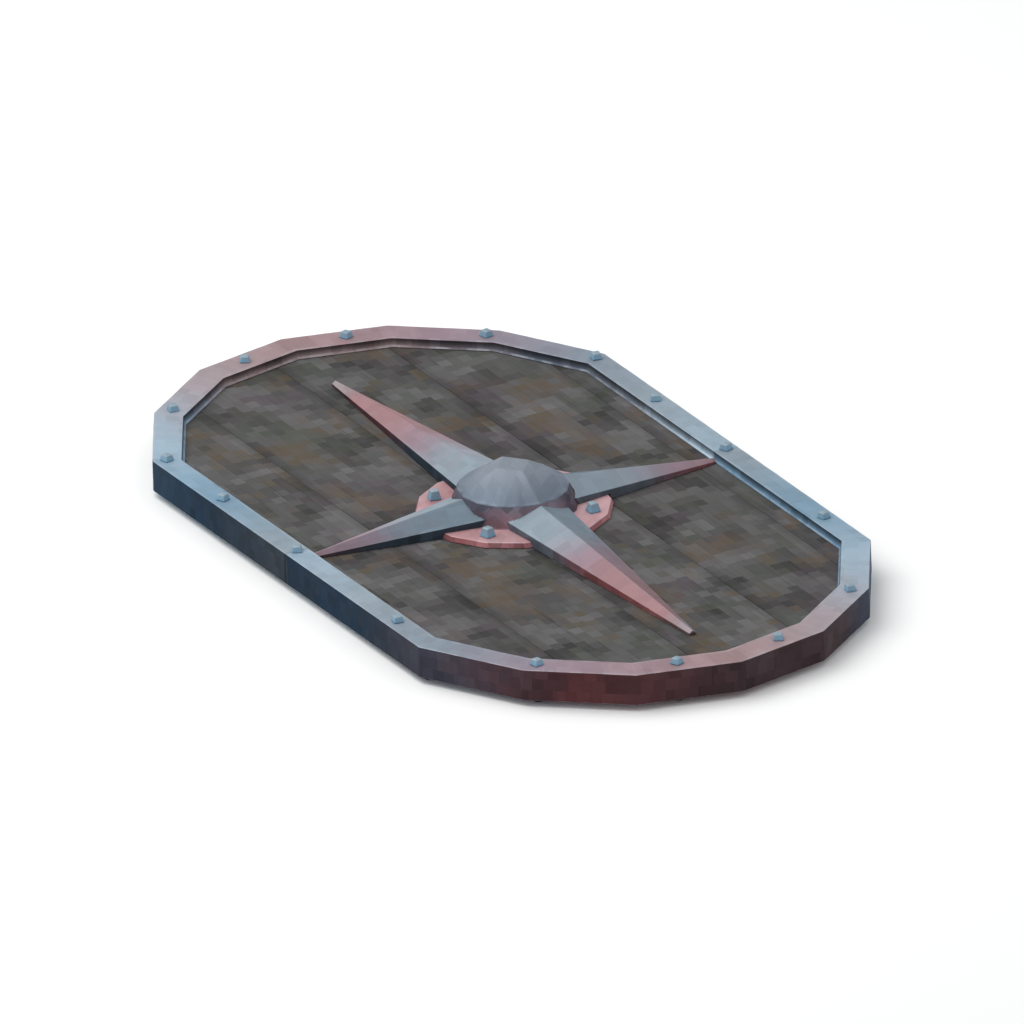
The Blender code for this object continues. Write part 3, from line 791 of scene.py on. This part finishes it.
def boss(finish):
    steps = FACETS * 10
    angles = np.arange(steps) * 2 * math.pi / steps
    flange_top, edge = FLANGE_THICKNESS, 1.0 * MM
    lip = (DOME_RADIUS + 0.25 * MM, DOME_BASE - 0.9 * MM)
    skirt = np.linspace((lip[0] + 0.3 * MM, lip[1] - 0.7 * MM), (SKIRT_RADIUS, flange_top), 9)
    flange_from, flange_to = SKIRT_RADIUS + 1.2 * MM, FLANGE_TOP_RADIUS - edge * 1.3
    flange = np.linspace((flange_from, flange_top), (flange_to, flange_top), 9)
    rim = np.array([
        (FLANGE_TOP_RADIUS - edge * 0.5, flange_top - edge * 0.08),
        (FLANGE_TOP_RADIUS, flange_top - edge * 0.5),
        (FLANGE_TOP_RADIUS + edge * 0.35, flange_top - edge * 1.2),
        (FLANGE_RADIUS - 0.8 * edge, edge * 1.4),
        (FLANGE_RADIUS - 0.3 * edge, 0.5 * edge),
        (FLANGE_RADIUS - 0.4 * edge, 0.0),
    ])
    under = np.linspace((FLANGE_RADIUS - 3 * MM, 0), (SKIRT_RADIUS - BOWL_WALL, 0), 6)
    mouth, throat = SKIRT_RADIUS - BOWL_WALL, DOME_RADIUS - BOWL_WALL
    inside_skirt = np.linspace((mouth, 0.5 * MM), (throat, DOME_BASE - 2 * MM), 7)
    turned = np.concatenate([[lip], skirt, flange, rim, under, inside_skirt])
    turned_radii = turned[:, :1] * facet_share(angles)
    turned_heights = np.broadcast_to(turned[:, 1:], turned_radii.shape)
    dome_radii, dome_heights = dome_lines(angles, 2 * MM)
    inner_radii, inner_heights = (lines[::-1] for lines in dome_lines(angles, 6 * MM))
    radii = np.concatenate([dome_radii, turned_radii, inner_radii * 0.95])
    heights = np.concatenate([dome_heights, turned_heights, inner_heights - BOWL_WALL])
    x, y = radii * np.cos(angles), radii * np.sin(angles) + BOSS_CENTRE.y
    rings = np.stack([x, y, heights + BOSS_CENTRE.z], axis=-1)
    section = np.stack([radii[:, 0], heights[:, 0]], axis=1)
    travelled = np.cumsum(np.r_[0, np.linalg.norm(np.diff(section, axis=0), axis=1)])
    edges = np.array([(DOME_RADIUS, DOME_BASE), (FLANGE_TOP_RADIUS, flange_top)])
    distance = np.min(np.linalg.norm(section[:, None] - edges[None], axis=2), axis=1)
    wear = np.broadcast_to(np.exp(-distance / (1.6 * MM))[:, None], radii.shape)
    course = np.zeros(rings.shape)
    course[..., 0] = rings[..., 0] + 0.3
    course[..., 1] = rings[..., 0] * 0.64 - rings[..., 1] * 0.77 + 0.3
    on_skirt = slice(len(dome_radii), len(dome_radii) + len(skirt) + 1)
    around = angles[None, :] * SKIRT_RADIUS * 0.8
    course[on_skirt, :, 0] = around + travelled[on_skirt, None]
    course[on_skirt, :, 1] = around - travelled[on_skirt, None]
    mesh = loft("boss", rings, wear, course)
    hollow = np.arange(len(radii)) >= len(radii) - len(inner_radii) - len(inside_skirt) - len(under)
    mark(mesh, "inside", np.broadcast_to(hollow[:, None], radii.shape).astype(float).ravel())
    dusk = np.zeros(radii.shape)
    # Painted shade on the skirt, none towards one side and deepening round the rest
    from_lit = np.abs((np.degrees(angles) - SKIRT_LIT_ANGLE + 180) % 360 - 180)
    dusk[on_skirt] = SKIRT_PAINTED_SHADE * np.clip((from_lit - SKIRT_LIT_REACH) / SKIRT_SHADE_FADE, 0, 1)
    mark(mesh, "dusk", dusk.ravel())

    def dished(places, normals):
        return (rough_noise(places, (0.016, 0.016, 0.016)) - 0.55) * 0.15 * MM

    relieve(mesh, dished)
    return piece("boss_iron", mesh, finish, "boss_iron", "boss")


def boss_room():
    """The boss's outer form with clearance, filled in, which shapes the roots of the rays."""
    top = DOME_TOP + DOME_BASE
    profile = [(DOME_RADIUS + GAP, top), (DOME_RADIUS + GAP, DOME_BASE),
               (SKIRT_RADIUS + GAP, FLANGE_THICKNESS + GAP),
               (FLANGE_RADIUS + GAP, FLANGE_THICKNESS + GAP), (FLANGE_RADIUS + GAP, -FLANGE_THICKNESS)]
    angles = np.arange(FACETS) * 2 * math.pi / FACETS
    rings = np.array([[(radius * math.cos(a), radius * math.sin(a) + BOSS_CENTRE.y, height + BOSS_CENTRE.z)
                       for a in angles] for radius, height in profile])
    return loft("boss_room", rings, np.zeros(rings.shape[:2]), np.zeros(rings.shape))


# ---- the rays

def ray(direction, finish):
    node = f"ray_{direction}"
    low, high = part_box(node)
    turn, tip = {
        "head": (0.0, high.y - BOSS_CENTRE.y),
        "foot": (math.pi, BOSS_CENTRE.y - low.y),
        "right": (-math.pi / 2, high.x),
        "left": (math.pi / 2, -low.x),
    }[direction]
    run = np.arange(RAY_START, tip - 3 * MM, 3.5 * MM)
    distances = np.r_[run, tip - 2 * MM, tip - 0.9 * MM, tip - 0.3 * MM, tip]
    rings, wears = [], []
    for distance in distances:
        share = (distance - RAY_ROOT_DISTANCE) / (tip - RAY_ROOT_DISTANCE)
        half_width, wall, ridge = (root + (end - root) * share for root, end in zip(RAY_ROOT, RAY_TIP))
        tuck = max(0.0, 0.9 * MM - (tip - distance)) * 0.7
        half_width, wall, ridge = half_width - tuck, wall - tuck * 0.6, ridge - tuck
        corners = [(-half_width, 0.0, 0.0), (half_width, 0.0, 0.0), (half_width, wall, 0.7 * MM),
                   (0.0, ridge, 0.8 * MM), (-half_width, wall, 0.7 * MM)]
        section, wear = ray_section(corners)
        rings.append(np.column_stack([section[:, 0], np.full(len(section), distance), section[:, 1]]))
        wears.append(wear)
    rings, wears = np.array(rings), np.array(wears)
    course = np.zeros(rings.shape)
    course[..., 0] = rings[..., 1]
    course[..., 1] = rings[..., 0] + rings[..., 2] + 0.3
    mesh = loft(node, rings, wears, course)
    # Painted shade on each facet and on the walls
    left_painted_shade, right_painted_shade, wall_painted_shade = RAY_PAINTED_SHADE[direction]
    dusk = np.interp(rings[..., 0], [-1.0 * MM, 1.0 * MM], [left_painted_shade, right_painted_shade])
    at_wall = np.abs(rings[..., 0]) > rings[..., 0].max(axis=1)[:, None] - 0.05 * MM
    dusk[at_wall] = wall_painted_shade
    mark(mesh, "dusk", dusk.ravel())

    def hammered(places, normals):
        swell = (rough_noise(places, (0.020, 0.020, 0.020)) - 0.60) * 0.5 * MM
        return np.where(places[:, 2] < 0.6 * MM, 0.0, swell)

    relieve(mesh, hammered)
    mesh.transform(Matrix.Translation((0, BOSS_CENTRE.y, BOARD_FACE + GAP)) @ Matrix.Rotation(turn, 4, "Z"))
    return piece(f"{node}_iron", cut_mesh(mesh, boss_room()), finish, "ray_iron", node)


def ray_section(corners, flat_pieces=9):
    """A ray's section with a fixed number of points, so that sections of any size loft together."""
    points, wear = [], []
    for k, (x, height, softening) in enumerate(corners):
        corner = np.array([x, height])
        before = np.array(corners[k - 1][:2])
        after = np.array(corners[(k + 1) % len(corners)][:2])
        next_softening = corners[(k + 1) % len(corners)][2]
        start = corner + (before - corner) / np.linalg.norm(before - corner) * softening
        finish = corner + (after - corner) / np.linalg.norm(after - corner) * softening
        for share in (0, 0.25, 0.5, 0.75) if softening else (0,):
            a = start + (corner - start) * share
            b = corner + (finish - corner) * share
            points.append(a + (b - a) * share)
            wear.append(0.35 if softening else 0.0)
        arrival = after + (corner - after) / np.linalg.norm(corner - after) * next_softening
        for share in [0.0, 0.06] + list(np.linspace(0, 1, flat_pieces + 1)[1:-1]) + [0.94]:
            if share == 0.0 and not softening:
                continue
            points.append(finish + (arrival - finish) * share)
            wear.append(0.0)
    return np.array(points), np.array(wear)


# ---- rivets and grip

TALL_HEAD = 9 * MM                   # heads at least this tall narrow more towards the top


def rounded_square(half_side, corner_radius, per_corner=5, per_side=3):
    """Points round a square with rounded corners, always as many of them."""
    points = []
    inner = half_side - corner_radius
    for quarter in range(4):
        turn = quarter * math.pi / 2
        next_turn = turn + math.pi / 2
        for share in np.linspace(0, 1, per_corner):
            angle = turn + share * math.pi / 2
            middle = complex(inner, inner) * complex(math.cos(turn), math.sin(turn))
            points.append(middle + corner_radius * complex(math.cos(angle), math.sin(angle)))
        onward = complex(math.cos(next_turn), math.sin(next_turn))
        start = points[-1]
        finish = complex(inner, inner) * onward + corner_radius * onward
        points += [start + (finish - start) * share for share in np.linspace(0, 1, per_side + 2)[1:-1]]
    return np.array([(point.real, point.imag) for point in points])


def rivet(node, finish):
    """A forged square head on its shank, narrowing upwards to a softened top, at its solid's place."""
    solid = places_of(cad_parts[node].data)
    low, high = solid.min(0), solid.max(0)
    middle = (low + high) / 2
    reach = np.linalg.norm(solid[:, :2] - middle[:2], axis=1)
    corner = solid[np.argmax(reach)]
    upwards = corner[2] > middle[2]
    seat = corner[2]
    height = high[2] - seat if upwards else seat - low[2]
    shank_length = (high[2] - low[2]) - height
    base = reach.max() / math.sqrt(2)
    turn = math.atan2(corner[1] - middle[1], corner[0] - middle[0]) - math.pi / 4
    top = base - (1.0 if height < TALL_HEAD else 1.9) * MM
    shank = 2.5 * MM
    profile = [(shank, -shank_length, 0.2 * MM), (shank, -0.05 * MM, 0.2 * MM),
               (base - 0.4 * MM, 0.0, 0.6 * MM), (base, 0.25 * MM, 0.7 * MM)]
    crown = 1.8 * MM
    for share in np.linspace(0.12, 1.0, 5):
        level = 0.25 * MM + (height - 0.25 * MM - crown) * share
        profile.append((base + (top - base) * share, level, 0.8 * MM + 0.5 * MM * share))
    for angle in np.radians([20, 40, 58, 74]):
        level = height - 0.35 * MM - crown * 0.85 * (1 - math.sin(angle))
        profile.append((top - crown * (1 - math.cos(angle)), level, 1.4 * MM))
    profile.append((top - crown * 1.1, height - 0.18 * MM, 1.3 * MM))
    profile.append((top - crown * 1.5, height - 0.04 * MM, 1.0 * MM))
    rings = []
    for half_side, level, corner_radius in profile:
        plan = rounded_square(half_side, min(corner_radius, half_side * 0.9))
        cosine, sine = math.cos(turn), math.sin(turn)
        x = plan[:, 0] * cosine - plan[:, 1] * sine
        y = plan[:, 0] * sine + plan[:, 1] * cosine
        z = np.full(len(plan), level if upwards else -level)
        rings.append(np.stack([x + middle[0], y + middle[1], z + seat], axis=1))
    rings = np.array(rings)
    wear = np.array([0.0] * 7 + [0.1, 0.3, 0.5, 0.6, 0.6, 0.6, 0.5, 0.5])
    wear = np.broadcast_to(wear[:, None], rings.shape[:2])
    mesh = loft(node, rings, wear, rings - middle + 0.5)
    rise = np.clip(np.array(profile)[:, 1] / height, 0, 1)
    mark(mesh, "rise", np.broadcast_to(rise[:, None], rings.shape[:2]).ravel())

    def uneven(places, normals):
        on_head = (places[:, 2] > seat + 0.1 * MM) if upwards else (places[:, 2] < seat - 0.1 * MM)
        return on_head * (smooth_noise(places, (0.004, 0.004, 0.004)) - 0.6) * 0.3 * MM

    relieve(mesh, uneven)
    return piece(f"{node}_head", mesh, finish, "rivet_iron", node)


def grip(finish):
    """A whittled bar, thick and rounded in the middle and flat at its ends, hung below the board."""
    length = GRIP_HIGH.x
    thickness = GRIP_HIGH.z - GRIP_LOW.z
    half_width = (GRIP_HIGH.y - GRIP_LOW.y) / 2
    x = np.r_[-length, -length + 0.5 * MM, np.linspace(-length + 1.5 * MM, length - 1.5 * MM, 90),
              length - 0.5 * MM, length]
    middle = 1 - np.clip((np.abs(x) - 0.047) / 0.024, 0, 1)
    middle = middle * middle * (3 - 2 * middle)
    depth = 0.008 + (thickness - 0.008) * middle
    width = 0.0125 + (half_width - 0.0125) * middle
    tuck = np.interp(length - np.abs(x), [0, 0.5 * MM, 1.5 * MM], [1.2 * MM, 0.5 * MM, 0.0])
    around = np.linspace(0, math.pi, 25)
    lower = np.stack([np.cos(around), -np.sin(around)], axis=1)
    squareness = 0.55
    lower = np.sign(lower) * np.abs(lower) ** squareness
    section = np.concatenate([lower, [(-0.5, 0.0), (0.0, 0.0), (0.5, 0.0)]])
    rings = np.zeros((len(x), len(section), 3))
    rings[..., 0] = x[:, None]
    rings[..., 1] = BOSS_CENTRE.y + section[None, :, 0] * (width - tuck)[:, None]
    rings[..., 2] = GRIP_HIGH.z + section[None, :, 1] * (depth - tuck)[:, None]
    course = np.stack([rings[..., 0], rings[..., 1] + rings[..., 2], rings[..., 0] * 0], axis=-1)
    mesh = loft("grip", rings, np.zeros(rings.shape[:2]), course)

    def whittled(places, normals):
        swell = (smooth_noise(places, (0.02, 0.006, 0.006)) - 0.75) * 0.8 * MM
        return np.where((normals[:, 2] > 0.5) | (places[:, 2] > GRIP_HIGH.z - 0.2 * MM), 0.0, swell)

    relieve(mesh, whittled)
    return piece("grip_ash", mesh, finish, "grip_wood", "grip")


# ---- floor, light, camera

FLOOR_REACH = 9.0
KEY_PLACE = (-1.4, 0.9, 3.7)
KEY_SIZE = 3.6
KEY_POWER = 110.0
SKY_STRENGTH = 0.72
VIEW_TURN, VIEW_RISE, VIEW_ROLL = (math.radians(angle) for angle in (-27.764, 23.084, -1.7186))
VIEW_WIDTH = 1.1939
VIEW_LIFT = 3.75 * MM                # the view's middle stands this much above the shield's
CAMERA_DISTANCE = 3.0


def floor():
    mesh = bpy.data.meshes.new("floor")
    corners = [(x * FLOOR_REACH, y * FLOOR_REACH, 0) for x, y in ((-1, -1), (1, -1), (1, 1), (-1, 1))]
    mesh.from_pydata(corners, [], [(0, 1, 2, 3)])
    finish = Finish("pale_floor", Roughness=0.9)
    mesh.materials.append(finish.surface(Base_Color=(0.93, 0.93, 0.93), Specular_IOR_Level=0.1))
    thing = bpy.data.objects.new("floor", mesh)
    bpy.context.scene.collection.objects.link(thing)
    thing.location.z = CAD_LOW.z - 0.2 * MM


def soft_light(name, place, size, power, colour):
    lamp = bpy.data.lights.new(name, "AREA")
    lamp.size = size
    lamp.energy = power
    lamp.color = colour
    thing = bpy.data.objects.new(name, lamp)
    thing.location = place
    thing.rotation_euler = (-Vector(place)).to_track_quat("-Z", "Y").to_euler()
    bpy.context.scene.collection.objects.link(thing)


def studio():
    floor()
    sky = bpy.data.worlds.new("studio")
    sky.use_nodes = True
    background = sky.node_tree.nodes["Background"]
    background.inputs["Color"].default_value = (0.97, 0.985, 1.0, 1.0)
    background.inputs["Strength"].default_value = SKY_STRENGTH
    bpy.context.scene.world = sky
    soft_light("key", KEY_PLACE, KEY_SIZE, KEY_POWER, (1.0, 0.99, 0.97))
    bpy.context.scene.view_settings.view_transform = "Standard"


def camera():
    """A parallel view from the foot end's left, looking down on the face."""
    turn, rise, roll = VIEW_TURN, VIEW_RISE, VIEW_ROLL
    away = Vector((math.sin(turn) * math.cos(rise), -math.cos(turn) * math.cos(rise), math.sin(rise)))
    level = Vector((math.cos(turn), math.sin(turn), 0.0))
    upward = away.cross(level)
    right = level * math.cos(roll) + upward * math.sin(roll)
    up = upward * math.cos(roll) - level * math.sin(roll)
    lens = bpy.data.cameras.new("camera")
    lens.type = "ORTHO"
    lens.ortho_scale = VIEW_WIDTH
    view = bpy.data.objects.new("camera", lens)
    middle = Vector((0, 0, (FACE_LEVEL + BACK_LEVEL) / 2)) + up * VIEW_LIFT
    facing = Matrix((right, up, away)).transposed().to_4x4()
    view.matrix_world = Matrix.Translation(middle + away * CAMERA_DISTANCE) @ facing
    bpy.context.scene.collection.objects.link(view)
    bpy.context.scene.camera = view


# ---- the shield

def main():
    rim_iron = forged_iron("blued_rim_iron", rim_colours)
    boss_iron = forged_iron("blued_boss_iron", boss_colours, mottle=0.12)
    ray_iron = forged_iron("blued_ray_iron", ray_colours)
    rivet_iron = forged_iron("blued_rivet_iron", rivet_colours, mottle=0.06)
    # The back rivets' heads carry painted shade
    shaded_back_iron = forged_iron("dark_rivet_iron", back_rivet_shade_colours, mottle=0.06)
    oak = hewn_wood(
        "hewn_oak", tint(50, 48, 48), tint(106, 105, 106), tint(70, 75, 66), tint(78, 69, 75),
        tint(92, 79, 65), 0.0165, True)
    ash = hewn_wood(
        "handled_ash", (0.080, 0.050, 0.030), (0.190, 0.130, 0.085), (0.110, 0.085, 0.055),
        (0.090, 0.055, 0.045), (0.140, 0.085, 0.045), 0.045, False)
    rim_half("rim_head", 1, rim_iron)
    rim_half("rim_foot", -1, rim_iron)
    for number in range(1, 6):
        plank(number, oak)
    boss(boss_iron)
    for direction in ("head", "foot", "right", "left"):
        ray(direction, ray_iron)
    for node in sorted(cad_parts):
        if "rivet" in node:
            rivet(node, shaded_back_iron if node.startswith("back") else rivet_iron)
    grip(ash)
    camera()
    studio()


main()
